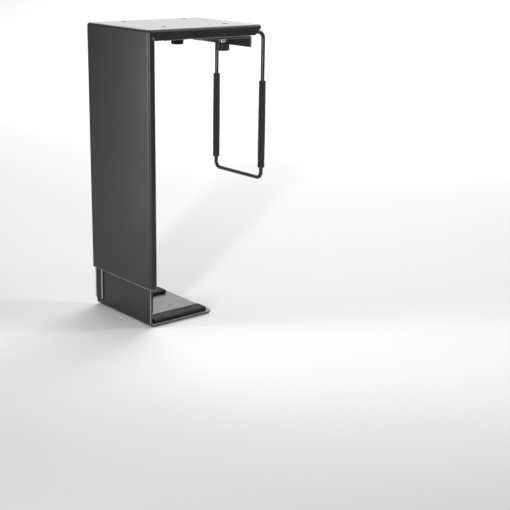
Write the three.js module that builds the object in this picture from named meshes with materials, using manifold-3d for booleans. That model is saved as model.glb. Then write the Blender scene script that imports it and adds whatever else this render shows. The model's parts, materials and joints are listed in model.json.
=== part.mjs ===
// Under-desk holder for a computer tower, in millimetres.
// X runs across the width, Y from the front to the back, and Z up. The origin is the centre of the
// top plate's upper face, which is screwed against the underside of a desk.
//
// A folded steel hanger covers the tower's top and left side. A J-shaped carriage slides up and down
// inside its left wall and carries the tower. A wire hoop slides sideways between the top plate and a
// guide tray, and holds the tower's right side.

import * as THREE from 'three';
import { mergeVertices } from 'three/addons/utils/BufferGeometryUtils.js';
import Module from 'manifold-3d';

const wasm = await Module();
wasm.setup();

// Driving dimensions
const SHEET = 2;
const GAP = 0.3;
const HALF_WIDTH = 72;
const HALF_DEPTH = 57;
const COVER_HEIGHT = 266;
const COVER_FLANGE = 7;
const LIP_HEIGHT = 11;
const LIP_TAPER = 8;
const BEND_RADIUS = 4;
const DESK_HOLE_RADIUS = 3;
const DESK_HOLE_X = [-34, 45];
const DESK_HOLE_Y = [-30, 43];

const PANEL_CLEARANCE = 2;
const PANEL_FRONT = -49.4;
const PANEL_REAR = 54.5;
const PANEL_TOP = -48;
const SHELF_BOTTOM = -309.5;
const SHELF_RIGHT = 16;
const SHELF_CORNER = 9;
const LIFT_UP = 38;
const LIFT_DOWN = 150;

const LOCK_Z = -225;
const LOCK_Y = [-24, 24];
const SLOT_WIDTH = 7;

const ROD_RADIUS = 2.2;
const ROD_Y = 40;
const ROD_Z = -9.5;
const ROD_INNER_X = -41;
const LEG_X = 89.6;
const HOOP_BOTTOM = -170;
const HOOP_BEND = 7;
const SLEEVE_RADIUS = 4;

const TRAY_LEFT = 4;
const TRAY_RIGHT = 65;
const TRAY_HALF_DEPTH = 50;
const TRAY_TOP = -12;
const TRAY_FLANGE_BOTTOM = -24;
const GUIDE_X = [12, 56.5];
const GUIDE_HALF_LENGTH = 6.5;
const GUIDE_SCREW_Y = 31;
const ACCESS_HOLE_RADIUS = 4.5;
const THUMB_SCREW_X = 34;

// Derived places
const WALL_INNER = -HALF_WIDTH + SHEET;
const PANEL_OUTER = WALL_INNER + PANEL_CLEARANCE;
const PANEL_INNER = PANEL_OUTER + SHEET;
const RAIL_OUTER = WALL_INNER + GAP;
const RAIL_INNER = PANEL_OUTER - GAP;
const PAD_FACE = -62;
const SHELF_TOP = SHELF_BOTTOM + SHEET;
const PAD_TOP = -304;
const TRAY_BOTTOM = TRAY_TOP - SHEET;
const SLOT_TOP = LOCK_Z + LIFT_DOWN + 4;
const SLOT_BOTTOM = LOCK_Z - LIFT_UP - 4;
const SIDES = [['front', -1], ['rear', 1]];

// Materials
function finish(color, roughness, metalness) {
  return new THREE.MeshStandardMaterial({ color, roughness, metalness });
}

const charcoalPaint = finish(0x434345, 0.5, 0.35);
const blackWire = finish(0x2c2c2e, 0.4, 0.5);
const zincSteel = finish(0xb4b6ba, 0.35, 1);
const blackNylon = finish(0x1f1f21, 0.55, 0);
const blackFoam = finish(0x26262a, 0.95, 0);
const blackRubber = finish(0x1b1b1d, 0.85, 0);

// Solids: joins and cuts work on closed meshes whose shared vertices are merged.
function solidOf(geometry) {
  const plain = geometry.clone();
  plain.deleteAttribute('normal');
  plain.deleteAttribute('uv');
  const merged = mergeVertices(plain, 1e-4);
  return new wasm.Manifold(new wasm.Mesh({
    numProp: 3,
    vertProperties: merged.attributes.position.array,
    triVerts: Uint32Array.from(merged.index.array),
  }));
}

function geometryOf(solid) {
  const mesh = solid.getMesh();
  const geometry = new THREE.BufferGeometry();
  geometry.setAttribute('position', new THREE.BufferAttribute(mesh.vertProperties, 3));
  geometry.setIndex(new THREE.BufferAttribute(mesh.triVerts, 1));
  geometry.computeVertexNormals();
  return geometry;
}

function join(...geometries) {
  return geometryOf(geometries.map(solidOf).reduce((whole, next) => whole.add(next)));
}

function cut(geometry, ...tools) {
  return geometryOf(tools.map(solidOf).reduce((whole, tool) => whole.subtract(tool), solidOf(geometry)));
}

// Outlines. Each is drawn in the two axes named by the extrusion that takes it.
function roundedRect(x0, y0, x1, y1, radius) {
  const shape = new THREE.Shape();
  shape.moveTo(x0 + radius, y0);
  shape.lineTo(x1 - radius, y0);
  shape.absarc(x1 - radius, y0 + radius, radius, -Math.PI / 2, 0);
  shape.lineTo(x1, y1 - radius);
  shape.absarc(x1 - radius, y1 - radius, radius, 0, Math.PI / 2);
  shape.lineTo(x0 + radius, y1);
  shape.absarc(x0 + radius, y1 - radius, radius, Math.PI / 2, Math.PI);
  shape.lineTo(x0, y0 + radius);
  shape.absarc(x0 + radius, y0 + radius, radius, Math.PI, Math.PI * 1.5);
  return shape;
}

function outline(points) {
  return new THREE.Shape(points.map(([x, y]) => new THREE.Vector2(x, y)));
}

function extrude(shape, depth) {
  return new THREE.ExtrudeGeometry(shape, { depth, bevelEnabled: false, curveSegments: 4 });
}

// A plan outline in X and Y, standing from z0 to z1.
function extrudeUp(shape, z0, z1) {
  return extrude(shape, z1 - z0).translate(0, 0, z0);
}

// A front outline in X and Z, running back from y0 to y1.
function extrudeBack(shape, y0, y1) {
  return extrude(shape, y1 - y0).rotateX(Math.PI / 2).translate(0, y1, 0);
}

// A side outline in Y and Z, running across from x0 to x1.
function extrudeAcross(shape, x0, x1) {
  const turn = new THREE.Matrix4().makeBasis(
    new THREE.Vector3(0, 1, 0),
    new THREE.Vector3(0, 0, 1),
    new THREE.Vector3(1, 0, 0),
  );
  return extrude(shape, x1 - x0).applyMatrix4(turn).translate(x0, 0, 0);
}

// Round solids, turned from a profile of [radius, height] points that starts and ends on the axis.
function turned(profile, sides) {
  const points = profile.map(([radius, height]) => new THREE.Vector2(radius, height));
  return new THREE.LatheGeometry(points, sides);
}

function upright(profile, x, y, z, sides = 24) {
  return turned(profile, sides).rotateX(Math.PI / 2).translate(x, y, z);
}

function sideways(profile, x, y, z, sides = 24) {
  return turned(profile, sides).rotateZ(-Math.PI / 2).translate(x, y, z);
}

function rodAlongX(radius, x0, x1, y, z, sides = 24) {
  return sideways([[0, 0], [radius, 0], [radius, x1 - x0], [0, x1 - x0]], x0, y, z, sides);
}

function rodAlongZ(radius, x, y, z0, z1, sides = 24) {
  return upright([[0, 0], [radius, 0], [radius, z1 - z0], [0, z1 - z0]], x, y, z0, sides);
}

const holder = new THREE.Group();

function place(name, geometry, material) {
  const mesh = new THREE.Mesh(geometry, material);
  mesh.name = name;
  holder.add(mesh);
}

// Hanger shell: top plate and left wall in one fold, with a return along its front and rear edges.
function foldOutline() {
  const inner = BEND_RADIUS - SHEET;
  const centreX = -HALF_WIDTH + BEND_RADIUS;
  const shape = new THREE.Shape();
  shape.moveTo(-HALF_WIDTH, -COVER_HEIGHT);
  shape.lineTo(WALL_INNER, -COVER_HEIGHT);
  shape.lineTo(WALL_INNER, -BEND_RADIUS);
  shape.absarc(centreX, -BEND_RADIUS, inner, Math.PI, Math.PI / 2, true);
  shape.lineTo(HALF_WIDTH, -SHEET);
  shape.lineTo(HALF_WIDTH, 0);
  shape.lineTo(centreX, 0);
  shape.absarc(centreX, -BEND_RADIUS, BEND_RADIUS, Math.PI / 2, Math.PI);
  return shape;
}

function returnOutline() {
  const flangeEdge = -HALF_WIDTH + COVER_FLANGE;
  const centreX = -HALF_WIDTH + BEND_RADIUS;
  const shape = new THREE.Shape();
  shape.moveTo(-HALF_WIDTH, -COVER_HEIGHT);
  shape.lineTo(flangeEdge, -COVER_HEIGHT);
  shape.lineTo(flangeEdge, -LIP_HEIGHT);
  shape.lineTo(HALF_WIDTH - LIP_TAPER, -LIP_HEIGHT);
  shape.lineTo(HALF_WIDTH, -SHEET);
  shape.lineTo(HALF_WIDTH, 0);
  shape.lineTo(centreX, 0);
  shape.absarc(centreX, -BEND_RADIUS, BEND_RADIUS, Math.PI / 2, Math.PI);
  return shape;
}

const deskHoles = DESK_HOLE_X.flatMap(
  (x) => DESK_HOLE_Y.map((y) => rodAlongZ(DESK_HOLE_RADIUS, x, y, -SHEET - 1, 1)),
);
place('hanger_shell', cut(
  join(
    extrudeBack(foldOutline(), -HALF_DEPTH, HALF_DEPTH),
    extrudeBack(returnOutline(), -HALF_DEPTH, -HALF_DEPTH + SHEET),
    extrudeBack(returnOutline(), HALF_DEPTH - SHEET, HALF_DEPTH),
  ),
  ...deskHoles,
), charcoalPaint);

// Guide tray: a bent plate under the hoop's arms, with its right end turned down.
const trayHoles = [];
for (const [, side] of SIDES) {
  for (const x of GUIDE_X) {
    trayHoles.push(rodAlongZ(2.4, x, side * GUIDE_SCREW_Y, TRAY_BOTTOM - 1, TRAY_TOP + 1, 16));
  }
  trayHoles.push(rodAlongZ(2.9, THUMB_SCREW_X, side * ROD_Y, TRAY_BOTTOM - 1, TRAY_TOP + 1, 16));
}
for (const y of DESK_HOLE_Y) {
  trayHoles.push(rodAlongZ(ACCESS_HOLE_RADIUS, DESK_HOLE_X[1], y, TRAY_BOTTOM - 1, TRAY_TOP + 1));
}

function trayOutline() {
  const outer = 2.6;
  const inner = outer - SHEET;
  const centreX = TRAY_RIGHT - outer;
  const centreZ = TRAY_TOP - outer;
  const shape = new THREE.Shape();
  shape.moveTo(TRAY_LEFT, TRAY_TOP);
  shape.lineTo(TRAY_LEFT, TRAY_BOTTOM);
  shape.lineTo(centreX, TRAY_BOTTOM);
  shape.absarc(centreX, centreZ, inner, Math.PI / 2, 0, true);
  shape.lineTo(TRAY_RIGHT - SHEET, TRAY_FLANGE_BOTTOM);
  shape.lineTo(TRAY_RIGHT, TRAY_FLANGE_BOTTOM);
  shape.lineTo(TRAY_RIGHT, centreZ);
  shape.absarc(centreX, centreZ, outer, 0, Math.PI / 2);
  return shape;
}

place('guide_tray', cut(
  extrudeBack(trayOutline(), -TRAY_HALF_DEPTH, TRAY_HALF_DEPTH),
  ...trayHoles,
), charcoalPaint);

// Rod guides: moulded blocks between the top plate and the tray, each held by one screw from below.
function guideBlock(x, side) {
  const [near, far] = [26, 46].map((y) => side * y).sort((a, b) => a - b);
  const bottom = TRAY_TOP + GAP;
  const plan = roundedRect(x - GUIDE_HALF_LENGTH, near, x + GUIDE_HALF_LENGTH, far, 2);
  return cut(
    extrudeUp(plan, bottom, -SHEET - GAP),
    rodAlongX(ROD_RADIUS + GAP, x - GUIDE_HALF_LENGTH - 1, x + GUIDE_HALF_LENGTH + 1, side * ROD_Y, ROD_Z),
    rodAlongZ(2.3, x, side * GUIDE_SCREW_Y, bottom - 1, -4.5, 16),
  );
}

// A screw standing head down: [radius, height] up from the head's underside.
const guideScrew = [[0, 0], [3.2, 0], [3.8, 0.6], [3.8, 1.8], [2, 1.8], [2, 10.6], [0, 10.6]];
for (const [end, side] of SIDES) {
  GUIDE_X.forEach((x, index) => {
    const where = `${end}_${index === 0 ? 'inner' : 'outer'}`;
    const headZ = TRAY_BOTTOM - GAP - 1.8;
    place(`rod_guide_${where}`, guideBlock(x, side), blackNylon);
    place(`guide_screw_${where}`, upright(guideScrew, x, side * GUIDE_SCREW_Y, headZ, 16), zincSteel);
  });
}

// Hoop lock: a weld nut under the tray and a thumb screw that presses up on each arm of the hoop.
const NUT_HEIGHT = 4;
const KNOB_RADIUS = 7;
const KNOB_HEIGHT = 8;
const nutTop = TRAY_BOTTOM - GAP;
const knobTop = nutTop - NUT_HEIGHT - GAP;
const thumbScrewTip = ROD_Z - ROD_RADIUS - GAP;

function hexNut(x, y) {
  const body = new THREE.CylinderGeometry(4.6, 4.6, NUT_HEIGHT, 6).rotateX(Math.PI / 2);
  body.translate(x, y, nutTop - NUT_HEIGHT / 2);
  return cut(body, rodAlongZ(2.9, x, y, nutTop - NUT_HEIGHT - 1, nutTop + 1, 16));
}

function thumbScrew(x, y) {
  const knobBottom = knobTop - KNOB_HEIGHT;
  const profile = [
    [0, 0], [KNOB_RADIUS - 1, 0], [KNOB_RADIUS, 1], [KNOB_RADIUS, KNOB_HEIGHT - 1],
    [KNOB_RADIUS - 1, KNOB_HEIGHT], [2.5, KNOB_HEIGHT], [2.5, thumbScrewTip - knobBottom],
    [0, thumbScrewTip - knobBottom],
  ];
  const grooves = [];
  for (let index = 0; index < 12; index += 1) {
    const angle = (index * Math.PI) / 6;
    const radius = KNOB_RADIUS + 0.5;
    const [gx, gy] = [x + radius * Math.cos(angle), y + radius * Math.sin(angle)];
    grooves.push(rodAlongZ(1.1, gx, gy, knobBottom - 1, knobTop + 1, 8));
  }
  return cut(upright(profile, x, y, knobBottom), ...grooves);
}

for (const [end, side] of SIDES) {
  place(`hoop_lock_nut_${end}`, hexNut(THUMB_SCREW_X, side * ROD_Y), zincSteel);
  place(`hoop_lock_screw_${end}`, thumbScrew(THUMB_SCREW_X, side * ROD_Y), blackNylon);
}

// Retaining hoop: one round rod, bent down at the end of both arms and across at the bottom.
class BentRod extends THREE.Curve {
  constructor(corners, bend, stepsPerBend) {
    super();
    this.stations = [corners[0]];
    for (let index = 1; index < corners.length - 1; index += 1) {
      const corner = corners[index];
      const back = corners[index - 1].clone().sub(corner).normalize();
      const ahead = corners[index + 1].clone().sub(corner).normalize();
      const centre = corner.clone().addScaledVector(back, bend).addScaledVector(ahead, bend);
      for (let step = 0; step <= stepsPerBend; step += 1) {
        const angle = (step / stepsPerBend) * (Math.PI / 2);
        this.stations.push(centre.clone()
          .addScaledVector(ahead, -bend * Math.cos(angle))
          .addScaledVector(back, -bend * Math.sin(angle)));
      }
    }
    this.stations.push(corners[corners.length - 1]);
  }

  getPoint(t, target = new THREE.Vector3()) {
    const place = t * (this.stations.length - 1);
    const index = Math.min(Math.floor(place), this.stations.length - 2);
    return target.lerpVectors(this.stations[index], this.stations[index + 1], place - index);
  }

  // Rings stand at the stations, close together in the bends and far apart on the straights.
  getPointAt(u, target) {
    return this.getPoint(u, target);
  }

  getTangentAt(u, target) {
    return this.getTangent(u, target);
  }
}

function bentRod(corners, radius, bend) {
  const path = new BentRod(corners.map((corner) => new THREE.Vector3(...corner)), bend, 6);
  const sides = 12;
  const section = [];
  for (let index = 0; index < sides; index += 1) {
    const angle = (index / sides) * Math.PI * 2;
    section.push([radius * Math.cos(angle), radius * Math.sin(angle)]);
  }
  const steps = path.stations.length - 1;
  return new THREE.ExtrudeGeometry(outline(section), { extrudePath: path, steps, bevelEnabled: false });
}

place('retaining_hoop', bentRod([
  [ROD_INNER_X, -ROD_Y, ROD_Z],
  [LEG_X, -ROD_Y, ROD_Z],
  [LEG_X, -ROD_Y, HOOP_BOTTOM],
  [LEG_X, ROD_Y, HOOP_BOTTOM],
  [LEG_X, ROD_Y, ROD_Z],
  [ROD_INNER_X, ROD_Y, ROD_Z],
], ROD_RADIUS, HOOP_BEND), blackWire);

// Soft sleeves on the hoop's legs, and stop caps pushed over the inner ends of its arms.
const SLEEVE_TOP = -62;
const SLEEVE_BOTTOM = -158;
const CAP_LENGTH = 8;
for (const [end, side] of SIDES) {
  const y = side * ROD_Y;
  place(`hoop_sleeve_${end}`, cut(
    rodAlongZ(SLEEVE_RADIUS, LEG_X, y, SLEEVE_BOTTOM, SLEEVE_TOP),
    rodAlongZ(ROD_RADIUS + GAP, LEG_X, y, SLEEVE_BOTTOM - 1, SLEEVE_TOP + 1),
  ), blackFoam);
  place(`hoop_stop_${end}`, cut(
    rodAlongX(SLEEVE_RADIUS, ROD_INNER_X - 1.5, ROD_INNER_X - 1.5 + CAP_LENGTH, y, ROD_Z),
    rodAlongX(ROD_RADIUS + GAP, ROD_INNER_X - GAP, ROD_INNER_X + CAP_LENGTH, y, ROD_Z),
  ), blackRubber);
}

// Carriage panel: a J of sheet with a slot for each lock screw. The tower stands on its shelf.
function panelOutline() {
  const outer = BEND_RADIUS;
  const inner = outer - SHEET;
  const centreX = PANEL_OUTER + outer;
  const centreZ = SHELF_BOTTOM + outer;
  const shape = new THREE.Shape();
  shape.moveTo(PANEL_INNER, PANEL_TOP);
  shape.lineTo(PANEL_OUTER, PANEL_TOP);
  shape.lineTo(PANEL_OUTER, centreZ);
  shape.absarc(centreX, centreZ, outer, Math.PI, Math.PI * 1.5);
  shape.lineTo(SHELF_RIGHT - 2 * SHELF_CORNER, SHELF_BOTTOM);
  shape.lineTo(SHELF_RIGHT - 2 * SHELF_CORNER, SHELF_TOP);
  shape.lineTo(centreX, SHELF_TOP);
  shape.absarc(centreX, centreZ, inner, Math.PI * 1.5, Math.PI, true);
  return shape;
}

const shelfPlan = roundedRect(-40, PANEL_FRONT, SHELF_RIGHT, PANEL_REAR, SHELF_CORNER);
const panelSlots = LOCK_Y.map((y) => extrudeAcross(
  roundedRect(y - SLOT_WIDTH / 2, SLOT_BOTTOM, y + SLOT_WIDTH / 2, SLOT_TOP, SLOT_WIDTH / 2 - 0.01),
  PANEL_OUTER - 1,
  PANEL_INNER + 1,
));
place('carriage_panel', cut(
  join(
    extrudeBack(panelOutline(), PANEL_FRONT, PANEL_REAR),
    extrudeUp(shelfPlan, SHELF_BOTTOM, SHELF_TOP),
  ),
  ...panelSlots,
), charcoalPaint);

// Glide strips fill the space between the cover and the carriage: the rear one rides with the
// carriage and shows below the cover, and the front one is fixed inside the cover.
place('rear_glide_strip', extrudeAcross(
  roundedRect(41, SHELF_BOTTOM + 5.5, PANEL_REAR, -60, 3),
  RAIL_OUTER,
  RAIL_INNER,
), blackNylon);
place('front_glide_strip', extrudeAcross(
  roundedRect(-48.5, -COVER_HEIGHT + 4, -38, -20, 2),
  RAIL_OUTER,
  RAIL_INNER,
), blackNylon);

// Side pads keep the tower's wall off the steel, clear of the lock washers' way.
const sidePads = [['front', -47, -36], ['middle', -12, 12], ['rear', 36, 50]];
for (const [where, y0, y1] of sidePads) {
  place(`side_pad_${where}`, extrudeAcross(
    roundedRect(y0, -296, y1, -56, 2),
    PANEL_INNER + GAP,
    PAD_FACE,
  ), blackFoam);
}

// Shelf pads: ribbed rubber strips under the tower's feet.
for (const [end, y0, y1] of [['front', -43, -27], ['rear', 32, 48]]) {
  place(`shelf_pad_${end}`, extrudeUp(
    roundedRect(-59, y0, SHELF_RIGHT - 5, y1, 3),
    SHELF_TOP + GAP,
    PAD_TOP,
  ), blackRubber);
}

// Height lock: a clinch nut on the cover, and a low screw and washer that clamp the carriage through
// its slot.
const CLINCH_NUT_HEIGHT = 1.2;
const WASHER_THICKNESS = 1;
const washerFace = PANEL_INNER + GAP + WASHER_THICKNESS;
for (const [index, [end]] of SIDES.entries()) {
  const y = LOCK_Y[index];
  const nutEnd = RAIL_OUTER + CLINCH_NUT_HEIGHT;
  place(`height_lock_nut_${end}`, cut(
    rodAlongX(4.5, RAIL_OUTER, nutEnd, y, LOCK_Z),
    rodAlongX(2.8, RAIL_OUTER - 1, nutEnd + 1, y, LOCK_Z),
  ), zincSteel);
  place(`height_lock_washer_${end}`, cut(
    rodAlongX(7.5, PANEL_INNER + GAP, washerFace, y, LOCK_Z),
    rodAlongX(2.8, PANEL_INNER, washerFace + 1, y, LOCK_Z),
  ), zincSteel);
  const shank = washerFace + GAP - (RAIL_OUTER + 0.2);
  place(`height_lock_screw_${end}`, sideways([
    [0, 0], [2.5, 0], [2.5, shank], [5, shank], [5, shank + 1.2], [4.2, shank + 2], [0, shank + 2],
  ], RAIL_OUTER + 0.2, y, LOCK_Z), zincSteel);
}

export default holder;
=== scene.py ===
import json
import math

import bmesh
import bpy
from mathutils import Matrix, Vector


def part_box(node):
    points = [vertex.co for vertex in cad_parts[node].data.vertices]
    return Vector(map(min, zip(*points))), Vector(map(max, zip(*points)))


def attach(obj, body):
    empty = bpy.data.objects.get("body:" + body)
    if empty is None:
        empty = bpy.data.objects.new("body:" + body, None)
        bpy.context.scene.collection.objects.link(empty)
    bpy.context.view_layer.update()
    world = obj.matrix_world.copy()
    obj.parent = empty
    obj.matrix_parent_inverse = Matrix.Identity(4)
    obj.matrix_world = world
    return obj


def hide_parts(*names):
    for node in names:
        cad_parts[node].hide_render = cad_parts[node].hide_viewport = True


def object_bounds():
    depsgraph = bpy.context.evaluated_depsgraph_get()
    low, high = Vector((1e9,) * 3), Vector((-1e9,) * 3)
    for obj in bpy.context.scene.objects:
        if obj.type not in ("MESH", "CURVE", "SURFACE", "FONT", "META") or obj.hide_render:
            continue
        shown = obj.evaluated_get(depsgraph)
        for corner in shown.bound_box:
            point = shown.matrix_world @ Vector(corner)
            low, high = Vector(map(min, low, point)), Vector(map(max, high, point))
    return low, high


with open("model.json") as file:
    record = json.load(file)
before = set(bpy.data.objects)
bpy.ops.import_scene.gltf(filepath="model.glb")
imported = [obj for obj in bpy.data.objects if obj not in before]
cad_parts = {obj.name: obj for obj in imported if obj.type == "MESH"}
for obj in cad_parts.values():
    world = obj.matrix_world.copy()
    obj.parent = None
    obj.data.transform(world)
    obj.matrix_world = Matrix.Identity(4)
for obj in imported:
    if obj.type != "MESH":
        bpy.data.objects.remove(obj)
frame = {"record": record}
cad_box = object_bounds()

# ---------------------------------------------------------------------------------------------
# Camera: a long lens a metre and more from the holder, in front and to its left, a little above
# the top plate.
# ---------------------------------------------------------------------------------------------
CAMERA_PLACE = Vector((-0.7009, -0.9551, 0.0930))
CAMERA_AZIMUTH = math.radians(40.589)
CAMERA_DOWN = math.radians(16.255)
CAMERA_ROLL = math.radians(0.967)
LENS_MM = 78.17

lens = bpy.data.cameras.new("camera")
lens.lens = LENS_MM
lens.sensor_width = 36
lens.clip_start = 0.01
lens.clip_end = 50
camera = bpy.data.objects.new("camera", lens)
bpy.context.collection.objects.link(camera)
forward = Vector((
    math.sin(CAMERA_AZIMUTH) * math.cos(CAMERA_DOWN),
    math.cos(CAMERA_AZIMUTH) * math.cos(CAMERA_DOWN),
    -math.sin(CAMERA_DOWN),
))
turn = forward.to_track_quat("-Z", "Y").to_matrix().to_4x4()
camera.matrix_world = Matrix.Translation(CAMERA_PLACE) @ turn @ Matrix.Rotation(CAMERA_ROLL, 4, "Z")
bpy.context.scene.camera = camera

# ---------------------------------------------------------------------------------------------
# Studio: a pale floor that curves up into a pale wall far behind, a bright panel high at the back,
# soft panels at the left and the right, a small one in front and a narrow upright one that draws
# light along the bends. None of it belongs to the holder.
# ---------------------------------------------------------------------------------------------
FLOOR_DROP = 0.0008
FLOOR_FRONT = -4.0
FLOOR_BACK = 2.0
FLOOR_CURVE = 1.0
FLOOR_HALF_WIDTH = 9
WALL_HEIGHT = 4
WORLD_STRENGTH = 0.32
floor_z = cad_box[0].z - FLOOR_DROP

bpy.context.scene.view_settings.view_transform = "Standard"
world = bpy.data.worlds.new("studio")
world.use_nodes = True
world.node_tree.nodes["Background"].inputs["Color"].default_value = (1.0, 1.0, 1.0, 1)
world.node_tree.nodes["Background"].inputs["Strength"].default_value = WORLD_STRENGTH
bpy.context.scene.world = world

paper = bpy.data.materials.new("studio_paper")
paper.use_nodes = True
paper_shader = paper.node_tree.nodes["Principled BSDF"]
paper_shader.inputs["Base Color"].default_value = (0.86, 0.86, 0.86, 1)
paper_shader.inputs["Roughness"].default_value = 0.9

floor_form = bmesh.new()
profile = [(FLOOR_FRONT, floor_z), (FLOOR_BACK, floor_z)]
for step in range(1, 13):
    angle = step / 12 * math.pi / 2
    profile.append((FLOOR_BACK + FLOOR_CURVE * math.sin(angle),
                    floor_z + FLOOR_CURVE * (1 - math.cos(angle))))
profile.append((FLOOR_BACK + FLOOR_CURVE, floor_z + WALL_HEIGHT))
across = Vector((math.cos(CAMERA_AZIMUTH), -math.sin(CAMERA_AZIMUTH), 0))
away = Vector((math.sin(CAMERA_AZIMUTH), math.cos(CAMERA_AZIMUTH), 0))
rows = [[floor_form.verts.new(away * y + across * x + Vector((0, 0, z)))
         for x in (-FLOOR_HALF_WIDTH, FLOOR_HALF_WIDTH)] for y, z in profile]
for near, far in zip(rows, rows[1:]):
    floor_form.faces.new((near[0], near[1], far[1], far[0])).smooth = True
floor_mesh = bpy.data.meshes.new("studio_floor")
floor_form.to_mesh(floor_mesh)
floor_form.free()
floor = bpy.data.objects.new("studio_floor", floor_mesh)
bpy.context.collection.objects.link(floor)
floor_mesh.materials.append(paper)


def soft_panel(name, place, aim, size, watts, spread=180):
    """A rectangular light facing the aim point. A small spread, in degrees, keeps its light narrow."""
    light = bpy.data.lights.new(name, "AREA")
    light.shape = "RECTANGLE"
    light.size, light.size_y = size
    light.energy = watts
    light.spread = math.radians(spread)
    panel = bpy.data.objects.new(name, light)
    panel.visible_camera = False
    bpy.context.collection.objects.link(panel)
    direction = Vector(aim) - Vector(place)
    facing = direction.to_track_quat("-Z", "Y").to_matrix().to_4x4()
    panel.matrix_world = Matrix.Translation(place) @ facing


soft_panel("back_panel", away * 2.4 + across * 0.2 + Vector((0, 0, 1.3)), (0, 0, 0.0), (3.2, 2.2), 62)
soft_panel("right_panel", (1.5, 0.7, 0.9), (0, 0, -0.15), (1.1, 1.1), 8)
soft_panel("left_panel", (-0.45, 0.10, -0.08), (-0.07, -0.16, -0.14), (0.25, 0.3), 0.45, 44)
soft_panel("front_panel", (0.9, -0.8, 1.05), (0, -0.05, -0.05), (0.4, 0.4), 0.7, 60)
soft_panel("edge_panel", (-1.6, -1.2, 0.1), (0, 0, -0.1), (0.12, 0.9), 2.2, 40)

# ---------------------------------------------------------------------------------------------
# Hanger shell: one folded 2 mm steel sheet, the top plate and the left cover, with returns along
# the front and rear edges, mitred and welded at the corners. Powder coated in satin charcoal, and
# hung from the desk by four screws.
# ---------------------------------------------------------------------------------------------
SHEET = 0.002
BEND = 0.0036
LIP = 0.011
LIP_TAPER = 0.008
COVER_RETURN = 0.007
MITRE_GAP = 0.0004
# How far along the diagonal of the two returns they stay joined, from the outer corner.
MITRE_CLOSED = 0.62
EDGE_ROUNDING = 0.00035
CUT_MARGIN = 0.001
RIGHT = Vector((1, 0, 0))
BACK = Vector((0, 1, 0))
UP = Vector((0, 0, 1))
DESK_HOLE_RADIUS = 0.003
DESK_HOLES_X = (-0.034, 0.045)
DESK_HOLES_Y = (-0.030, 0.043)


def object_from(form, name):
    """The form as a scene object, with every face turned outward."""
    bmesh.ops.recalc_face_normals(form, faces=form.faces)
    mesh = bpy.data.meshes.new(name)
    form.to_mesh(mesh)
    form.free()
    made = bpy.data.objects.new(name, mesh)
    bpy.context.collection.objects.link(made)
    return made


def keep_result(piece, smooth_angle=35):
    """Turns a piece's modifiers into its mesh, smooth except along edges past the angle."""
    graph = bpy.context.evaluated_depsgraph_get()
    mesh = bpy.data.meshes.new_from_object(piece.evaluated_get(graph))
    piece.modifiers.clear()
    piece.data = mesh
    mesh.polygons.foreach_set("use_smooth", [True] * len(mesh.polygons))
    mesh.set_sharp_from_angle(angle=math.radians(smooth_angle))
    return piece


def round_edges(piece, width, segments=3, angle=40):
    """Rounds every edge whose faces meet at more than the angle."""
    rounding = piece.modifiers.new("rounded_edges", "BEVEL")
    rounding.width = width
    rounding.segments = segments
    rounding.limit_method = "ANGLE"
    rounding.angle_limit = math.radians(angle)
    rounding.use_clamp_overlap = True
    keep_result(piece)


def thicken(piece):
    """Gives a folded surface the thickness of the sheet, inward."""
    thickness = piece.modifiers.new("sheet", "SOLIDIFY")
    thickness.thickness = SHEET
    thickness.offset = -1
    thickness.use_even_offset = True
    keep_result(piece)


def cut_away(piece, *cutters):
    """Takes the cutters' shapes out of a piece and removes the cutters."""
    for cutter in cutters:
        removal = piece.modifiers.new("cut", "BOOLEAN")
        removal.operation = "DIFFERENCE"
        removal.solver = "EXACT"
        removal.object = cutter
    keep_result(piece)
    for cutter in cutters:
        bpy.data.objects.remove(cutter, do_unlink=True)


def dressed(piece, material, body, slot, *nodes):
    """Gives a piece its material, hangs it on the body it rides on and hides the CAD nodes it stands for."""
    flat = piece.modifiers.new("even_flats", "WEIGHTED_NORMAL")
    flat.keep_sharp = True
    piece.data.materials.clear()
    piece.data.materials.append(material)
    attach(piece, body)
    if nodes:
        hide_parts(*nodes)


def prism(name, outline, direction):
    """A closed solid: the outline's points in order, swept by the direction vector."""
    form = bmesh.new()
    face = form.faces.new([form.verts.new(point) for point in outline])
    swept = bmesh.ops.extrude_face_region(form, geom=[face])["geom"]
    far_points = [v for v in swept if isinstance(v, bmesh.types.BMVert)]
    bmesh.ops.translate(form, vec=direction, verts=far_points)
    return object_from(form, name)


def square_block(name, corner, opposite):
    """A square-edged solid between two opposite corners."""
    base = [Vector((x, y, corner[2])) for x, y in (
        (corner[0], corner[1]), (opposite[0], corner[1]),
        (opposite[0], opposite[1]), (corner[0], opposite[1]))]
    return prism(name, base, UP * (opposite[2] - corner[2]))


def arc(centre, radius, start, stop, steps, across, up):
    """Points on an arc in the plane of the directions across and up, in degrees from across."""
    angles = [math.radians(start + (stop - start) * k / steps) for k in range(steps + 1)]
    return [Vector(centre) + (across * math.cos(a) + up * math.sin(a)) * radius for a in angles]


def round_bar(name, centre, axis, radius, length, sides=48):
    """A closed round solid along the axis from centre, which is the middle of its first end."""
    side = axis.orthogonal().normalized()
    ring = arc(centre, radius, 0, 360 - 360 / sides, sides - 1, side, axis.cross(side))
    return prism(name, ring, axis * length)


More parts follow.
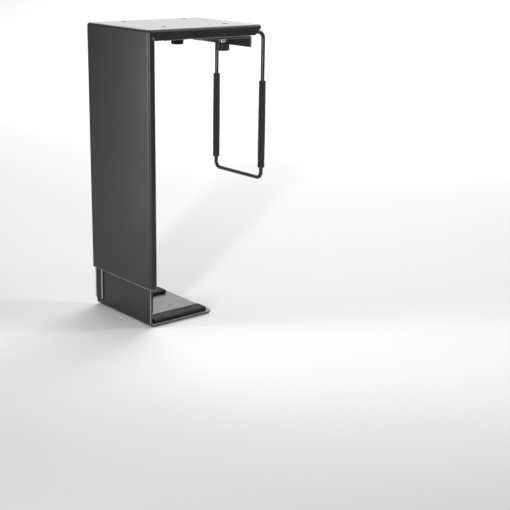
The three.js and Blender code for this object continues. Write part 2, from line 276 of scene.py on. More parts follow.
class Finish:
    """A node material: a mottled base colour, an uneven roughness, a fine surface and an edge mask, for wear
    and a painted edge highlight.
    """

    def __init__(self, name, metallic=0.0, ior=1.5, coat=0.0, coat_roughness=0.2):
        self.material = bpy.data.materials.new(name)
        self.material.use_nodes = True
        self.tree = self.material.node_tree
        self.shader = self.tree.nodes["Principled BSDF"]
        self.shader.inputs["Metallic"].default_value = metallic
        self.shader.inputs["IOR"].default_value = ior
        self.shader.inputs["Coat Weight"].default_value = coat
        self.shader.inputs["Coat Roughness"].default_value = coat_roughness
        self.place = self.tree.nodes.new("ShaderNodeTexCoord").outputs["Object"]
        self.normal = None

    def noise(self, per_metre, detail=3.0, roughness=0.5):
        """A cloudy pattern, 0 to 1, with this many cells to the metre."""
        node = self.tree.nodes.new("ShaderNodeTexNoise")
        node.inputs["Scale"].default_value = per_metre
        node.inputs["Detail"].default_value = detail
        node.inputs["Roughness"].default_value = roughness
        self.tree.links.new(self.place, node.inputs["Vector"])
        return node.outputs["Fac"]

    def ramp(self, source, low, high, start=0.3, end=0.7):
        """Low where the source is at start, high where it is at end, and even steps between."""
        node = self.tree.nodes.new("ShaderNodeMapRange")
        node.inputs["From Min"].default_value = start
        node.inputs["From Max"].default_value = end
        node.inputs["To Min"].default_value = low
        node.inputs["To Max"].default_value = high
        self.tree.links.new(source, node.inputs["Value"])
        return node.outputs["Result"]

    def mix_colour(self, amount, first, second):
        """The first colour where amount is 0 and the second where it is 1."""
        node = self.tree.nodes.new("ShaderNodeMix")
        node.data_type = "RGBA"
        self.tree.links.new(amount, node.inputs["Factor"])
        for socket, value in (("A", first), ("B", second)):
            target = [s for s in node.inputs if s.name == socket and s.type == "RGBA"][0]
            if isinstance(value, tuple):
                target.default_value = (*value, 1)
            else:
                self.tree.links.new(value, target)
        return [s for s in node.outputs if s.type == "RGBA"][0]

    def bump(self, height, millimetres):
        """Raises the surface by up to this much where height is 1, on top of any bump before it."""
        node = self.tree.nodes.new("ShaderNodeBump")
        node.inputs["Strength"].default_value = 1
        node.inputs["Distance"].default_value = millimetres / 1000
        self.tree.links.new(height, node.inputs["Height"])
        if self.normal:
            self.tree.links.new(self.normal, node.inputs["Normal"])
        self.normal = node.outputs["Normal"]
        self.tree.links.new(self.normal, self.shader.inputs["Normal"])

    def edges(self, reach_mm):
        """Near 0 on open faces and near 1 along convex edges and corners."""
        rounded = self.tree.nodes.new("ShaderNodeBevel")
        rounded.samples = 4
        rounded.inputs["Radius"].default_value = reach_mm / 1000
        plain = self.tree.nodes.new("ShaderNodeNewGeometry")
        dot = self.tree.nodes.new("ShaderNodeVectorMath")
        dot.operation = "DOT_PRODUCT"
        self.tree.links.new(rounded.outputs["Normal"], dot.inputs[0])
        self.tree.links.new(plain.outputs["Normal"], dot.inputs[1])
        return self.ramp(dot.outputs["Value"], 1, 0, 0.9, 0.995)

    def calculate(self, operation, *values):
        """One arithmetic step on patterns or plain numbers."""
        node = self.tree.nodes.new("ShaderNodeMath")
        node.operation = operation
        for socket, value in zip(node.inputs, values):
            if isinstance(value, float):
                socket.default_value = value
            else:
                self.tree.links.new(value, socket)
        return node.outputs["Value"]

    def beyond(self, half_x, half_y):
        """0 inside a plan rectangle about the frame's origin and 1 outside it."""
        plan = self.tree.nodes.new("ShaderNodeSeparateXYZ")
        self.tree.links.new(self.place, plan.inputs["Vector"])
        outside = [self.calculate("GREATER_THAN", self.calculate("ABSOLUTE", plan.outputs[axis]), half)
                   for axis, half in (("X", half_x), ("Y", half_y))]
        return self.calculate("MAXIMUM", *outside)

    def set(self, socket, source):
        """Lets a pattern drive one of the shader's values."""
        self.tree.links.new(source, self.shader.inputs[socket])


def powder_coat(name, dark, light, worn_and_highlight, highlight_free_field=None):
    """Satin paint, paler along edges as wear and as a painted edge highlight, except inside a plan rectangle
    given by its half sides.
    """
    coat = Finish(name, ior=1.38)
    mottle = coat.mix_colour(coat.ramp(coat.noise(18, 4), 0, 1), dark, light)
    patches = coat.ramp(coat.noise(260, 4), 0.6, 1, 0.4, 0.7)
    # Edge wear plus a painted edge highlight: the pale colour mixed in along convex edges.
    wear_and_highlight = coat.calculate("MULTIPLY", coat.edges(0.9), patches)
    if highlight_free_field:
        wear_and_highlight = coat.calculate("MULTIPLY", wear_and_highlight, coat.beyond(*highlight_free_field))
    coat.set("Base Color", coat.mix_colour(wear_and_highlight, mottle, worn_and_highlight))
    coat.set("Roughness", coat.ramp(coat.noise(700, 2), 0.31, 0.41))
    coat.bump(coat.noise(620, 2, 0.45), 0.035)
    coat.bump(coat.noise(2600, 2, 0.5), 0.006)
    return coat.material


# The paint's darker and lighter tones, and the pale one along its edges: wear and a painted edge highlight.
CHARCOAL = ((0.010, 0.010, 0.0103), (0.014, 0.014, 0.0143), (0.5, 0.5, 0.5))
# Half the sides of the rectangle round the desk holes, where no edge wear or painted edge highlight is laid
# on.
DESK_HOLE_FIELD = (0.066, 0.050)
hanger_paint = powder_coat("hanger_powder_coat", *CHARCOAL, highlight_free_field=DESK_HOLE_FIELD)

low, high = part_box("hanger_shell")
form = bmesh.new()
corner = {
    "top_front": form.verts.new((low.x, low.y, high.z)),
    "top_rear": form.verts.new((low.x, high.y, high.z)),
    "end_front": form.verts.new((high.x, low.y, high.z)),
    "end_rear": form.verts.new((high.x, high.y, high.z)),
    "foot_front": form.verts.new((low.x, low.y, low.z)),
    "foot_rear": form.verts.new((low.x, high.y, low.z)),
}
form.faces.new([corner[k] for k in ("top_front", "end_front", "end_rear", "top_rear")])
form.faces.new([corner[k] for k in ("top_front", "top_rear", "foot_rear", "foot_front")])
for end, y in (("front", low.y), ("rear", high.y)):
    ring = [corner["top_" + end], corner["foot_" + end]]
    mitre = Vector((low.x, y, high.z)) + Vector((COVER_RETURN, 0, -LIP)) * MITRE_CLOSED
    ring += [form.verts.new(point) for point in (
        (low.x + COVER_RETURN, y, low.z),
        (low.x + COVER_RETURN, y, high.z - LIP - MITRE_GAP),
        mitre,
        (low.x + COVER_RETURN + MITRE_GAP, y, high.z - LIP),
        (high.x - LIP_TAPER, y, high.z - LIP),
        (high.x, y, high.z - BEND),
    )]
    ring.append(corner["end_" + end])
    form.faces.new(ring)
bmesh.ops.recalc_face_normals(form, faces=form.faces)
folds = [("top_front", "end_front"), ("top_rear", "end_rear"), ("top_front", "top_rear"),
         ("top_front", "foot_front"), ("top_rear", "foot_rear")]
fold_edges = [form.edges.get((corner[a], corner[b])) for a, b in folds]
bmesh.ops.bevel(form, geom=fold_edges, offset=BEND, segments=6, profile=0.5, affect="EDGES")
hanger_shell = object_from(form, "hanger_shell_folded")
thicken(hanger_shell)

cut_away(hanger_shell, *[
    round_bar("hole", (x, y, high.z - SHEET - CUT_MARGIN), UP, DESK_HOLE_RADIUS, SHEET + 2 * CUT_MARGIN)
    for x in DESK_HOLES_X for y in DESK_HOLES_Y
])
round_edges(hanger_shell, EDGE_ROUNDING)
dressed(hanger_shell, hanger_paint, "hanger", "charcoal_paint", "hanger_shell")

# ---------------------------------------------------------------------------------------------
# Guide tray: a bent steel plate spot-welded under the top plate's right half, powder coated like
# the shell. The hoop's arms run over it, and its right end is turned down.
# ---------------------------------------------------------------------------------------------
TRAY_BEND = 0.0026
ACCESS_HOLE = 0.0045
THUMB_SCREW_HOLE = 0.0029

low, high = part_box("guide_tray")
bend_centre = Vector((high.x - TRAY_BEND, low.y, high.z - TRAY_BEND))
tray_outline = [Vector((low.x, low.y, high.z)), Vector((low.x, low.y, high.z - SHEET))]
tray_outline += arc(bend_centre, TRAY_BEND - SHEET, 90, 0, 8, RIGHT, UP)
tray_outline += [Vector((high.x - SHEET, low.y, low.z)), Vector((high.x, low.y, low.z))]
tray_outline += arc(bend_centre, TRAY_BEND, 0, 90, 8, RIGHT, UP)
guide_tray = prism("guide_tray_bent", tray_outline, BACK * (high.y - low.y))
thumb_low, thumb_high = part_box("hoop_lock_screw_front")
thumb_x = (thumb_low.x + thumb_high.x) / 2
rod_y = -(thumb_low.y + thumb_high.y) / 2
tray_holes = [(DESK_HOLES_X[1], y, ACCESS_HOLE) for y in DESK_HOLES_Y]
tray_holes += [(thumb_x, y, THUMB_SCREW_HOLE) for y in (-rod_y, rod_y)]
cut_away(guide_tray, *[
    round_bar("hole", (x, y, low.z), UP, radius, high.z - low.z + CUT_MARGIN) for x, y, radius in tray_holes
])
round_edges(guide_tray, 0.0003)
charcoal_paint = powder_coat("charcoal_powder_coat", *CHARCOAL)
dressed(guide_tray, charcoal_paint, "hanger", "charcoal_paint", "guide_tray")

# ---------------------------------------------------------------------------------------------
# Rod guides: four moulded nylon blocks between the top plate and the tray, each bored for one arm
# of the hoop, with a shallow pocket in its left and right sides. One screw from below holds each.
# ---------------------------------------------------------------------------------------------
ROD_RADIUS = 0.0022
ROD_Z = -0.0095
ROD_PLAY = 0.0003
POCKET_INSET = 0.0035
POCKET_HALF_WIDTH = 0.0042
POCKET_RIM = 0.0022
POCKET_DEPTH = 0.0018
GUIDE_SCREW_Y = 0.031
SCREW_WAY_RADIUS = 0.0023
SCREW_WAY_DEPTH = 0.0075


def moulded_nylon(name, dark, light):
    nylon = Finish(name, ior=1.4)
    nylon.set("Base Color", nylon.mix_colour(nylon.ramp(nylon.noise(60, 4), 0, 1), dark, light))
    nylon.set("Roughness", nylon.ramp(nylon.noise(240, 3), 0.46, 0.62))
    nylon.bump(nylon.noise(1500, 3, 0.6), 0.02)
    nylon.bump(nylon.noise(90, 2), 0.03)
    return nylon.material


black_nylon = moulded_nylon("black_moulded_nylon", (0.007, 0.007, 0.0073), (0.012, 0.012, 0.0123))
for node in ("front_inner", "front_outer", "rear_inner", "rear_outer"):
    low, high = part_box("rod_guide_" + node)
    side = 1 if low.y > 0 else -1
    block = square_block("rod_guide_block_" + node, low, high)
    round_edges(block, 0.0014, 4)
    middle = (low + high) / 2
    pocket_y = middle.y - side * POCKET_INSET
    pockets = [
        square_block(
            "pocket",
            (outside_x, pocket_y - POCKET_HALF_WIDTH, low.z + POCKET_RIM),
            (floor_x, pocket_y + POCKET_HALF_WIDTH, high.z - POCKET_RIM),
        )
        for outside_x, floor_x in (
            (low.x - CUT_MARGIN, low.x + POCKET_DEPTH), (high.x + CUT_MARGIN, high.x - POCKET_DEPTH))
    ]
    bore = round_bar("bore", (low.x - CUT_MARGIN, side * rod_y, ROD_Z), RIGHT, ROD_RADIUS + ROD_PLAY, 0.02)
    screw_way = round_bar("way", (middle.x, side * GUIDE_SCREW_Y, low.z - CUT_MARGIN), UP,
                          SCREW_WAY_RADIUS, SCREW_WAY_DEPTH + CUT_MARGIN)
    cut_away(block, bore, screw_way, *pockets)
    round_edges(block, 0.00025, 2, 50)
    dressed(block, black_nylon, "hanger", "black_nylon", "rod_guide_" + node)

# ---------------------------------------------------------------------------------------------
# Guide screws: four zinc-plated steel screws with low pan heads and a cross recess, driven up
# through the tray into the rod guides, one to a guide.
# ---------------------------------------------------------------------------------------------
THREAD_PITCH = 0.0008
RECESS_HALF_LENGTH = 0.0019
RECESS_HALF_WIDTH = 0.00035
RECESS_DEPTH = 0.0011


def turned(name, profile, place, axis, sides=40):
    """A round solid along the axis from place, turned from (radius, height) points.

    The points start and end on the axis, or end where they start, which makes a hollow ring.
    """
    hollow = profile[0] == profile[-1]
    side = axis.orthogonal().normalized()
    form = bmesh.new()
    rings = []
    for radius, height in profile[:-1] if hollow else profile:
        centre = Vector(place) + axis * height
        points = arc(centre, radius, 0, 360 - 360 / sides, sides - 1, side, axis.cross(side))
        rings.append([form.verts.new(point) for point in (points if radius else [centre])])
    if hollow:
        rings.append(rings[0])
    for first, second in zip(rings, rings[1:]):
        for k in range(sides):
            following = (k + 1) % sides
            around = [first[k % len(first)], first[following % len(first)],
                      second[following % len(second)], second[k % len(second)]]
            form.faces.new(list(dict.fromkeys(around)))
    return object_from(form, name)


def plated_steel(name, dark, light):
    steel = Finish(name, metallic=1.0)
    steel.set("Base Color", steel.mix_colour(steel.ramp(steel.noise(300, 4), 0, 1), dark, light))
    steel.set("Roughness", steel.ramp(steel.noise(900, 3), 0.22, 0.42))
    steel.bump(steel.noise(2400, 2), 0.004)
    return steel.material


def thread(radius, start, stop):
    """Profile points of a V thread, as rings along a shank."""
    points = []
    root = radius - THREAD_PITCH * 0.55
    height = start
    while height < stop - THREAD_PITCH:
        points += [(radius, height + THREAD_PITCH * 0.15), (radius, height + THREAD_PITCH * 0.3),
                   (root, height + THREAD_PITCH * 0.65), (root, height + THREAD_PITCH * 0.8)]
        height += THREAD_PITCH
    return points


zinc_steel = plated_steel("zinc_plated_steel", (0.36, 0.37, 0.39), (0.52, 0.53, 0.55))
for node in ("front_inner", "front_outer", "rear_inner", "rear_outer"):
    low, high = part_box("guide_screw_" + node)
    middle = (low + high) / 2
    tall = high.z - low.z
    head = [(0, 0), (0.0022, 0), (0.0031, 0.0002), (0.0036, 0.0006), (0.0038, 0.0012), (0.0038, 0.0018)]
    shank = [(0.002, 0.0018)] + thread(0.002, 0.0024, tall - 0.0006)
    shank += [(0.0012, tall - 0.0002), (0, tall)]
    screw = turned("guide_screw_pan_" + node, head + shank, (middle.x, middle.y, low.z), UP)
    arms = [
        square_block(
            "recess",
            (middle.x - half_x, middle.y - half_y, low.z - CUT_MARGIN),
            (middle.x + half_x, middle.y + half_y, low.z + RECESS_DEPTH),
        )
        for half_x, half_y in (
            (RECESS_HALF_LENGTH, RECESS_HALF_WIDTH), (RECESS_HALF_WIDTH, RECESS_HALF_LENGTH))
    ]
    cut_away(screw, *arms)
    dressed(screw, zinc_steel, "hanger", "zinc_steel", "guide_screw_" + node)

# ---------------------------------------------------------------------------------------------
# Hoop lock nuts: two hexagon weld nuts in zinc-plated steel, welded to the tray's underside, one
# under each arm of the hoop. The thumb screws run in them.
# ---------------------------------------------------------------------------------------------
NUT_RADIUS = 0.0046
NUT_BORE = 0.0029
for end in ("front", "rear"):
    low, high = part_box("hoop_lock_nut_" + end)
    middle = (low + high) / 2
    hexagon = arc((middle.x, middle.y, low.z), NUT_RADIUS, 0, 300, 5, BACK, RIGHT)
    nut = prism("hoop_lock_nut_hex_" + end, hexagon, UP * (high.z - low.z))
    foot = (middle.x, middle.y, low.z - CUT_MARGIN)
    cut_away(nut, round_bar("bore", foot, UP, NUT_BORE, high.z - low.z + 2 * CUT_MARGIN))
    round_edges(nut, EDGE_ROUNDING)
    dressed(nut, zinc_steel, "hanger", "zinc_steel", "hoop_lock_nut_" + end)

# ---------------------------------------------------------------------------------------------
# Hoop lock thumb screws: moulded nylon knobs with twelve finger grooves on a threaded steel stud.
# Turned by hand, the stud's tip presses up on one arm of the hoop.
# ---------------------------------------------------------------------------------------------
KNOB_RADIUS = 0.0069
KNOB_HEIGHT = 0.008
KNOB_GROOVES = 12
KNOB_SIDES = KNOB_GROOVES * 12
GROOVE_DEPTH = 0.13
DISH_RIM = 0.0006
DISH_DEPTH = 0.0005
STUD_RADIUS = 0.0025
for end in ("front", "rear"):
    low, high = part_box("hoop_lock_screw_" + end)
    middle = (low + high) / 2
    form = bmesh.new()
    # Each section is its height and its radius as a share of the knob's.
    sections = [(0.0, 0.72), (0.0, 0.86), (0.0003, 0.93), (0.001, 0.985), (0.0018, 1.0),
                (0.0062, 1.0), (0.007, 0.985), (0.0077, 0.93), (0.008, 0.86), (0.008, 0.45)]
    rings = []
    for height, share in sections:
        grooved = (height, share) not in (sections[0], sections[-1])
        ring = []
        for k in range(KNOB_SIDES):
            angle = 2 * math.pi * k / KNOB_SIDES
            groove = GROOVE_DEPTH * max(0, math.cos(angle * KNOB_GROOVES)) ** 2 if grooved else 0
            radius = KNOB_RADIUS * (share - groove)
            ring.append(form.verts.new((middle.x + radius * math.cos(angle),
                                        middle.y + radius * math.sin(angle), low.z + height)))
        rings.append(ring)
    for first, second in zip(rings, rings[1:]):
        for k in range(KNOB_SIDES):
            following = (k + 1) % KNOB_SIDES
            form.faces.new((first[k], first[following], second[following], second[k]))
    face = form.faces.new(rings[0][::-1])
    bmesh.ops.inset_region(form, faces=[face], thickness=DISH_RIM, depth=-DISH_DEPTH)
    form.faces.new(rings[-1])
    knob = object_from(form, "hoop_lock_knob_" + end)
    keep_result(knob, 50)
    dressed(knob, black_nylon, "hoop_lock_" + end, "black_nylon", "hoop_lock_screw_" + end)
    reach = high.z - low.z - KNOB_HEIGHT
    stud_profile = [(0, -0.001), (STUD_RADIUS, -0.001), (STUD_RADIUS, 0.0002)]
    stud_profile += thread(STUD_RADIUS, 0.0006, reach - 0.0004)
    stud_profile += [(STUD_RADIUS - 0.0006, reach), (0, reach)]
    stud = turned("hoop_lock_stud_" + end, stud_profile, (middle.x, middle.y, low.z + KNOB_HEIGHT), UP)
    keep_result(stud)
    dressed(stud, zinc_steel, "hoop_lock_" + end, "zinc_steel")

# ---------------------------------------------------------------------------------------------
# Retaining hoop: one 4.4 mm steel rod, bent down at the end of both arms and across at the bottom,
# painted semi-gloss black. Its arms slide in the rod guides.
# ---------------------------------------------------------------------------------------------
ROD_BEND = 0.007


def bent_path(corners, radius, steps=8):
    """The corners joined by straight lines, with each bend as an arc."""
    path = [corners[0]]
    for before, corner_point, after in zip(corners, corners[1:], corners[2:]):
        back = (before - corner_point).normalized()
        ahead = (after - corner_point).normalized()
        centre = corner_point + (back + ahead) * radius
        for k in range(steps + 1):
            angle = math.pi / 2 * k / steps
            path.append(centre - ahead * radius * math.cos(angle) - back * radius * math.sin(angle))
    return path + [corners[-1]]


def rod_along(name, path, radius, resolution=6):
    """A round rod of the given radius along the path, with flat closed ends."""
    line = bpy.data.curves.new(name, "CURVE")
    line.dimensions = "3D"
    line.bevel_depth = radius
    line.bevel_resolution = resolution
    line.use_fill_caps = True
    spline = line.splines.new("POLY")
    spline.points.add(len(path) - 1)
    for point, place in zip(spline.points, path):
        point.co = (*place, 1)
    rod = bpy.data.objects.new(name, line)
    bpy.context.collection.objects.link(rod)
    bpy.context.view_layer.update()
    mesh = bpy.data.meshes.new_from_object(rod.evaluated_get(bpy.context.evaluated_depsgraph_get()))
    bpy.data.objects.remove(rod)
    solid = bpy.data.objects.new(name, mesh)
    bpy.context.collection.objects.link(solid)
    return keep_result(solid, 50)


def gloss_paint(name, dark, light):
    paint = Finish(name, ior=1.45, coat=0.35, coat_roughness=0.16)
    paint.set("Base Color", paint.mix_colour(paint.ramp(paint.noise(40, 3), 0, 1), dark, light))
    paint.set("Roughness", paint.ramp(paint.noise(300, 2), 0.26, 0.34))
    paint.bump(paint.noise(300, 2), 0.004)
    return paint.material


black_wire = gloss_paint("black_wire_paint", (0.006, 0.006, 0.0062), (0.009, 0.009, 0.0093))
low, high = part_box("retaining_hoop")
leg_x = high.x - ROD_RADIUS
hoop_bottom = low.z + ROD_RADIUS
hoop = rod_along("retaining_hoop_rod", bent_path([
    Vector((low.x, -rod_y, ROD_Z)), Vector((leg_x, -rod_y, ROD_Z)), Vector((leg_x, -rod_y, hoop_bottom)),
    Vector((leg_x, rod_y, hoop_bottom)), Vector((leg_x, rod_y, ROD_Z)), Vector((low.x, rod_y, ROD_Z)),
], ROD_BEND), ROD_RADIUS)
dressed(hoop, black_wire, "hoop", "black_wire", "retaining_hoop")

# ---------------------------------------------------------------------------------------------
# Hoop sleeves: two soft tubes of black closed-cell foam, pushed over the hoop's legs and held by
# their own grip. They keep the rod from marking the tower.
# ---------------------------------------------------------------------------------------------
SLEEVE_STEPS = 24


def closed_cell_foam(name, dark, light):
    foam = Finish(name, ior=1.45)
    foam.shader.inputs["Sheen Weight"].default_value = 0.15
    cells = foam.tree.nodes.new("ShaderNodeTexVoronoi")
    cells.inputs["Scale"].default_value = 1500
    foam.tree.links.new(foam.place, cells.inputs["Vector"])
    grain = foam.ramp(cells.outputs["Distance"], 1, 0, 0.1, 0.6)
    foam.set("Base Color", foam.mix_colour(grain, dark, light))
    foam.set("Roughness", foam.ramp(foam.noise(400, 3), 0.86, 0.98))
    foam.bump(grain, 0.12)
    foam.bump(foam.noise(160, 3), 0.15)
    return foam.material


black_foam = closed_cell_foam("black_closed_cell_foam", (0.010, 0.010, 0.011), (0.022, 0.022, 0.023))
for end in ("front", "rear"):
    low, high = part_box("hoop_sleeve_" + end)
    middle = (low + high) / 2
    outer = (high.x - low.x) / 2
    bore = ROD_RADIUS + 0.0001
    tall = high.z - low.z
    mouth = [(bore, 0.0004), (bore + 0.0004, 0), (outer - 0.0008, 0), (outer - 0.0002, 0.0003),
             (outer - 0.0001, 0.001)]
    swell = []
    for k in range(1, SLEEVE_STEPS):
        fullness = 0.0002 * math.sin(math.pi * k / SLEEVE_STEPS) + 0.00005 * math.sin(k * 2.1)
        swell.append((outer - 0.00025 + fullness, tall * k / SLEEVE_STEPS))
    ring = mouth + swell + [(radius, tall - height) for radius, height in reversed(mouth)]
    sleeve = turned("hoop_sleeve_foam_" + end, ring + [ring[0]], (middle.x, middle.y, low.z), UP)
    keep_result(sleeve, 60)
    dressed(sleeve, black_foam, "hoop", "black_foam", "hoop_sleeve_" + end)

# ---------------------------------------------------------------------------------------------
# Hoop stops: dipped rubber caps pushed over the inner ends of the arms. They meet the rod guides
# and stop the hoop from being pulled right out.
# ---------------------------------------------------------------------------------------------


def matt_rubber(name, dark, light):
    rubber = Finish(name, ior=1.5)
    rubber.set("Base Color", rubber.mix_colour(rubber.ramp(rubber.noise(70, 4), 0, 1), dark, light))
    rubber.set("Roughness", rubber.ramp(rubber.noise(300, 3), 0.62, 0.82))
    rubber.bump(rubber.noise(1900, 3, 0.65), 0.03)
    return rubber.material


black_rubber = matt_rubber("black_rubber", (0.010, 0.010, 0.0105), (0.019, 0.019, 0.0195))
for end in ("front", "rear"):
    low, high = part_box("hoop_stop_" + end)
    middle = (low + high) / 2
    outer = (high.z - low.z) / 2
    bore = ROD_RADIUS + 0.0001
    long = high.x - low.x
    dome = [(outer * math.sin(math.radians(a)), 0.0028 * (1 - math.cos(math.radians(a))))
            for a in range(0, 91, 15)]
    cap_profile = dome + [
        (outer - 0.0004, 0.0031), (outer - 0.0004, long - 0.0014), (outer - 0.0001, long - 0.0011),
        (outer - 0.0001, long - 0.0003), (outer - 0.0004, long), (bore, long),
        (bore, long - 0.004), (0, long - 0.004),
    ]
    cap = turned("hoop_stop_cap_" + end, cap_profile, (low.x, middle.y, middle.z), RIGHT)
    keep_result(cap, 40)
    dressed(cap, black_rubber, "hoop", "black_rubber", "hoop_stop_" + end)

# ---------------------------------------------------------------------------------------------
# Carriage panel: a J of 2 mm steel sheet in the shell's charcoal powder coat. Its wall slides
# inside the cover and is clamped through two slots, and the tower stands on its shelf.
# ---------------------------------------------------------------------------------------------
SHELF_CORNER = 0.009
SLOT_WIDTH = 0.007
SLOT_PAST_SCREW = 0.004
low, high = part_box("carriage_panel")
form = bmesh.new()
bend_front = form.verts.new((low.x, low.y, low.z))
bend_rear = form.verts.new((low.x, high.y, low.z))
top_rear = form.verts.new((low.x, high.y, high.z))
top_front = form.verts.new((low.x, low.y, high.z))
form.faces.new((bend_front, bend_rear, top_rear, top_front))
shelf = [bend_rear, bend_front]
for y, start in ((low.y + SHELF_CORNER, -90), (high.y - SHELF_CORNER, 0)):
    centre = (high.x - SHELF_CORNER, y, low.z)
    shelf += [form.verts.new(p) for p in arc(centre, SHELF_CORNER, start, start + 90, 8, RIGHT, BACK)]
form.faces.new(shelf)
bmesh.ops.recalc_face_normals(form, faces=form.faces)
fold_edge = form.edges.get((bend_front, bend_rear))
bmesh.ops.bevel(form, geom=[fold_edge], offset=BEND, segments=8, profile=0.5, affect="EDGES")
carriage_panel = object_from(form, "carriage_panel_folded")
thicken(carriage_panel)
height_slide = next(j for j in frame["record"]["behaviour"]["joints"] if j["name"] == "height_slide")
lowest, highest = height_slide["range_m"]
end_radius = SLOT_WIDTH / 2
past = SLOT_PAST_SCREW - end_radius
slots = []
for end in ("front", "rear"):
    screw_low, screw_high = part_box("height_lock_screw_" + end)
    screw = (screw_low + screw_high) / 2
    outline = []
    for z, start in ((screw.z - lowest + past, 0), (screw.z - highest - past, 180)):
        outline += arc((low.x - CUT_MARGIN, screw.y, z), end_radius, start, start + 180, 12, BACK, UP)
    slots.append(prism("slot", outline, RIGHT * (SHEET + 2 * CUT_MARGIN)))
cut_away(carriage_panel, *slots)
round_edges(carriage_panel, EDGE_ROUNDING)
dressed(carriage_panel, charcoal_paint, "carriage", "charcoal_paint", "carriage_panel")

# ---------------------------------------------------------------------------------------------
# Glide strips: black nylon strips with a rim pressed along each long edge to ride on; the rims' pale
# grey is a painted highlight. The rear one is fixed to the carriage and shows below the cover, the
# front one is inside the cover.
# ---------------------------------------------------------------------------------------------
RIM_WIDTH = 0.0013
RIM_HEIGHT = 0.0010
RIM_INSET = 0.0002
STRIP_CORNER = 0.003

# The rims' pale grey is a painted highlight along the strips' edges, not the nylon's own colour.
rim_highlight_nylon = moulded_nylon("rim_nylon_painted_highlight", (0.22, 0.22, 0.22), (0.28, 0.28, 0.28))
for node, body in (("rear_glide_strip", "carriage"), ("front_glide_strip", "hanger")):
    low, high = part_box(node)
    outline = []
    for y, z, start in (
        (high.y - STRIP_CORNER, high.z - STRIP_CORNER, 0), (low.y + STRIP_CORNER, high.z - STRIP_CORNER, 90),
        (low.y + STRIP_CORNER, low.z + STRIP_CORNER, 180), (high.y - STRIP_CORNER, low.z + STRIP_CORNER, 270),
    ):
        outline += arc((high.x, y, z), STRIP_CORNER, start, start + 90, 6, BACK, UP)
    strip = prism(node + "_flat", outline, RIGHT * (low.x + RIM_HEIGHT - high.x))
    round_edges(strip, 0.0003)
    dressed(strip, black_nylon, body, "black_nylon", node)
    for edge, y in (("front", low.y + RIM_INSET), ("rear", high.y - RIM_INSET - RIM_WIDTH)):
        rim = square_block(
            node + "_" + edge + "_rim",
            (low.x, y, low.z + STRIP_CORNER),
            (low.x + RIM_HEIGHT + RIM_INSET, y + RIM_WIDTH, high.z - STRIP_CORNER),
        )
        round_edges(rim, 0.0004, 4)
        dressed(rim, rim_highlight_nylon, body, "black_nylon")

# ---------------------------------------------------------------------------------------------
# Side pads: self-adhesive closed-cell foam strips inside the carriage, between its wall and the
# tower. Their faces are slightly crowned and their edges are soft.
# ---------------------------------------------------------------------------------------------


def foam_block(name, low, high, thin_axis, cell=0.006, crown=0.0005):
    """A soft block inside the box from low to high: a fine grid on every face, rounded and crowned."""
    size = high - low
    centre = (low + high) / 2
    form = bmesh.new()
    bmesh.ops.create_cube(form, size=1)
    for axis in range(3):
        count = max(2, min(40, round(size[axis] / cell)))
        along = [e for e in form.edges if abs((e.verts[0].co - e.verts[1].co)[axis]) > 0.4]
        bmesh.ops.subdivide_edges(form, edges=along, cuts=count, use_grid_fill=True)
    radius = min(size) * 0.35
    for vert in form.verts:
        point = Vector(vert.co[k] * size[k] for k in range(3))
        inner = Vector(max(-size[k] / 2 + radius, min(size[k] / 2 - radius, point[k])) for k in range(3))
        away_from = point - inner
        if away_from.length > 1e-9:
            point = inner + away_from.normalized() * radius
        edge_share = [1 - abs(point[k]) / (size[k] / 2) for k in range(3) if k != thin_axis]
        fullness = 1 - (1 - min(1, min(edge_share) * 3)) ** 2
        point[thin_axis] *= 1 - crown * 2 / size[thin_axis] * (1 - fullness)
        vert.co = centre + point
    block = object_from(form, name)
    return keep_result(block, 70)


for where in ("front", "middle", "rear"):
    low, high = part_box("side_pad_" + where)
    pad = foam_block("side_pad_foam_" + where, low, high, 0)
    dressed(pad, black_foam, "carriage", "black_foam", "side_pad_" + where)

# ---------------------------------------------------------------------------------------------
# Shelf pads: two black rubber strips bonded across the shelf, near its front and rear edges. Five
# rounded ribs along each one grip the tower's base.
# ---------------------------------------------------------------------------------------------
RIBS = 5
STEPS_PER_RIB = 12
RIB_DEPTH = 0.0008
for end in ("front", "rear"):
    low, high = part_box("shelf_pad_" + end)
    outline = [Vector((low.x, high.y, low.z)), Vector((low.x, low.y, low.z))]
    for k in range(RIBS * STEPS_PER_RIB + 1):
        share = k / (RIBS * STEPS_PER_RIB)
        fall = RIB_DEPTH * (0.5 + 0.5 * math.cos(2 * math.pi * RIBS * share)) ** 2
        outline.append(Vector((low.x, low.y + (high.y - low.y) * share, high.z - fall)))
    pad = prism("shelf_pad_ribbed_" + end, outline, RIGHT * (high.x - low.x))
    round_edges(pad, 0.0004, 3, 60)
    dressed(pad, black_rubber, "carriage", "black_rubber", "shelf_pad_" + end)

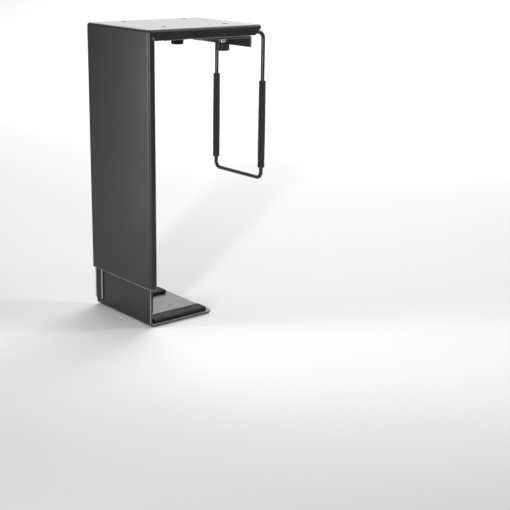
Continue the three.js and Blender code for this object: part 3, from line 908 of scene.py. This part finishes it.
# ---------------------------------------------------------------------------------------------
# Height lock: in each slot a clinch nut pressed into the cover, and a washer and a low screw head
# that clamp the carriage from inside. Zinc-plated steel, worked with a hexagon key.
# ---------------------------------------------------------------------------------------------
LOCK_BORE = 0.0028
SHANK_RADIUS = 0.0025
SOCKET_RADIUS = 0.0017
SOCKET_DEPTH = 0.0015
for end in ("front", "rear"):
    low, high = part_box("height_lock_nut_" + end)
    middle = (low + high) / 2
    outer, thick = (high.y - low.y) / 2, high.x - low.x
    ring = [
        (LOCK_BORE, 0), (outer - 0.0003, 0), (outer, 0.0003), (outer, thick - 0.0003),
        (outer - 0.0003, thick), (LOCK_BORE + 0.0003, thick), (LOCK_BORE, thick - 0.0003), (LOCK_BORE, 0),
    ]
    nut = turned("height_lock_clinch_nut_" + end, ring, (low.x, middle.y, middle.z), RIGHT)
    keep_result(nut)
    dressed(nut, zinc_steel, "hanger", "zinc_steel", "height_lock_nut_" + end)

    low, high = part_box("height_lock_washer_" + end)
    outer, thick = (high.y - low.y) / 2, high.x - low.x
    ring = [
        (LOCK_BORE, 0), (outer - 0.0002, 0), (outer, 0.0002), (outer, thick - 0.0003),
        (outer - 0.0003, thick), (LOCK_BORE + 0.0002, thick), (LOCK_BORE, thick - 0.0002), (LOCK_BORE, 0),
    ]
    washer = turned("height_lock_flat_washer_" + end, ring, (low.x, middle.y, middle.z), RIGHT, 56)
    keep_result(washer)
    dressed(washer, zinc_steel, "hanger", "zinc_steel", "height_lock_washer_" + end)

    low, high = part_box("height_lock_screw_" + end)
    long = high.x - low.x
    shank = [(0, 0), (SHANK_RADIUS - 0.0004, 0), (SHANK_RADIUS, 0.0004)]
    shank += thread(SHANK_RADIUS, 0.0006, long - 0.0026)
    head = [
        (SHANK_RADIUS, long - 0.002), (0.0048, long - 0.002), (0.005, long - 0.0018), (0.005, long - 0.0008),
        (0.0044, long - 0.0002), (0.0038, long), (0, long),
    ]
    screw = turned("height_lock_low_screw_" + end, shank + head, (low.x, middle.y, middle.z), RIGHT)
    socket_mouth = (high.x + CUT_MARGIN, middle.y, middle.z)
    socket = arc(socket_mouth, SOCKET_RADIUS, 0, 300, 5, BACK, UP)
    cut_away(screw, prism("socket", socket, RIGHT * -(SOCKET_DEPTH + CUT_MARGIN)))
    dressed(screw, zinc_steel, "hanger", "zinc_steel", "height_lock_screw_" + end)
